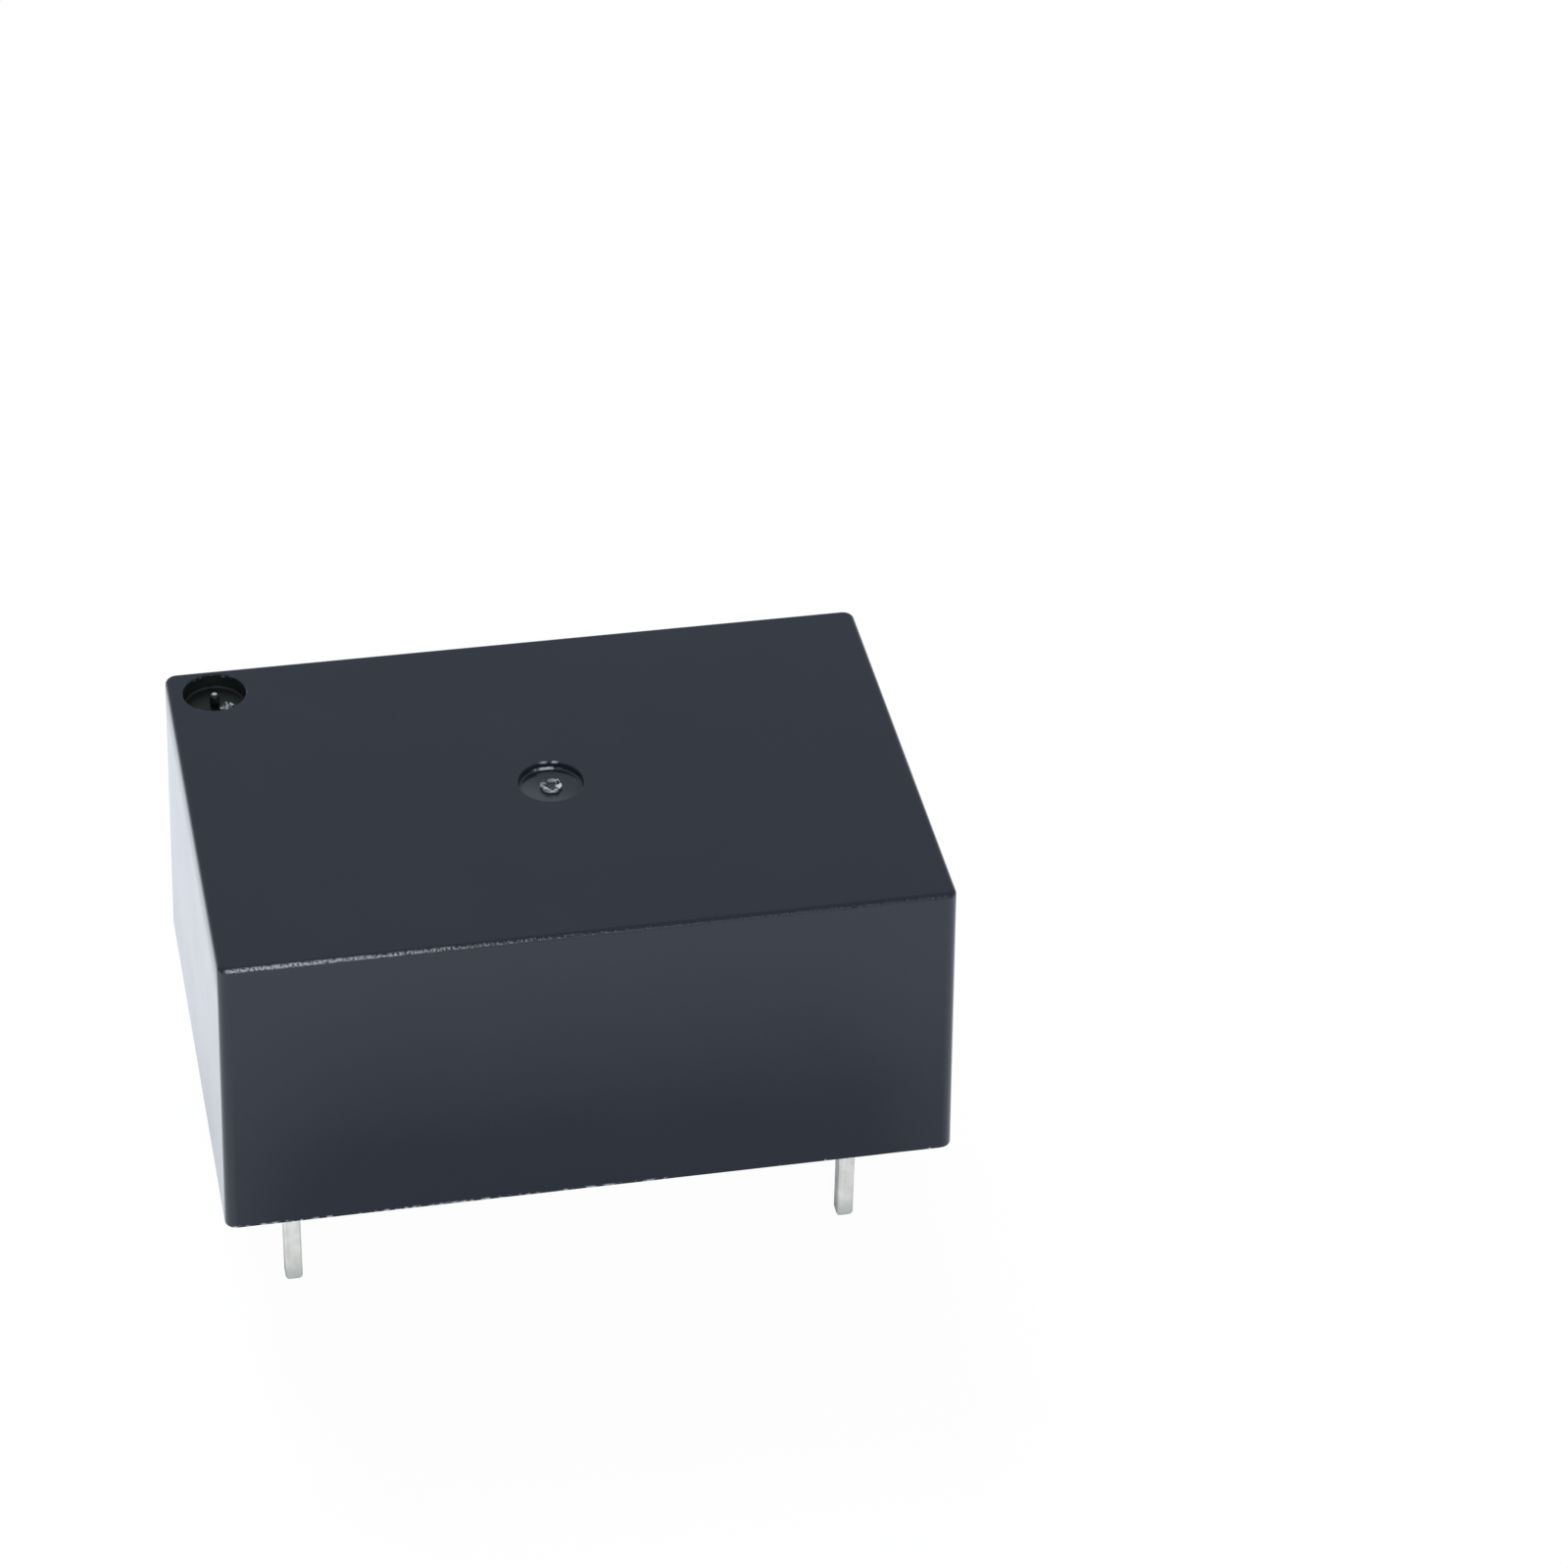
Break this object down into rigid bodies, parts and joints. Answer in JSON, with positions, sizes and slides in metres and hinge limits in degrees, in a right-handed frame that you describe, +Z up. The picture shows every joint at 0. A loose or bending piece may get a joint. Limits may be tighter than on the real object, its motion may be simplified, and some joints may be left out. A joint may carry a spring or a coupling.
{
  "type": "pcb power relay",
  "caption": "Flat sealed power relay for a printed circuit board: drafted box cover, resin-sealed base, solder pins, and a coil whose hinged armature closes a make contact.",
  "frame": {"origin": "middle of the body on the board's surface, the plane of the two standoff pads under the rim", "axes": "+X along the body's length, +Y from the coil pins towards the contact pins, +Z up from the board to the cover's top"},
  "size_m": [0.0224, 0.0156, 0.0136],
  "materials": {
    "cover_plastic": "moulded, satin",
    "base_plastic": "moulded, fine matt texture",
    "sealant": "cast epoxy, satin",
    "bobbin_plastic": "moulded, natural",
    "pusher_plastic": "moulded, natural",
    "magnet_wire": "enamelled copper",
    "coil_tape": "polyester film",
    "soft_iron": "nickel plated",
    "spring_bronze": "rolled strip",
    "spring_copper": "rolled strip",
    "contact_silver": "silver alloy",
    "tinned_copper": "bright tin plate over copper",
    "solder": "solder"
  },
  "bodies": {
    "housing": {"cover": "cover_plastic", "base": "base_plastic", "sealant": "sealant", "bobbin": "bobbin_plastic", "winding": "magnet_wire", "coil_tape": "coil_tape", "core": "soft_iron", "yoke": "soft_iron", "hinge_spring": "spring_bronze", "fixed_contact": "contact_silver", "common_terminal": "tinned_copper", "load_terminal": "tinned_copper", "spring_rivets": "spring_bronze", "coil_terminal_left": "tinned_copper", "coil_terminal_right": "tinned_copper", "lead_wire_left": "magnet_wire", "lead_wire_right": "magnet_wire", "solder_joints": "solder"},
    "armature": {"armature": "soft_iron", "pusher": "pusher_plastic"},
    "contact_blade": {"contact_spring": "spring_copper", "moving_contact": "contact_silver"}
  },
  "joints": [
    {"name": "armature_pivot", "type": "hinge", "parent": "housing", "child": "armature", "pos_m": [0.00874, 0.00201, 0.00545], "axis": [0, 0, -1], "range_deg": [0, 4.6], "stiffness_Nm_per_rad": 0.0001, "springref_deg": -11.46, "deforming": ["hinge_spring"]},
    {"name": "contact_flex", "type": "hinge", "parent": "housing", "child": "contact_blade", "pos_m": [-0.00413, 0.0046, 0.0054], "axis": [0, 0, 1], "range_deg": [0, 3.7], "stiffness_Nm_per_rad": 0.0001, "deforming": ["contact_spring"]}
  ],
  "couplings": [
    {"joint": "contact_flex", "follows": "armature_pivot", "ratio": 0.795}
  ]
}
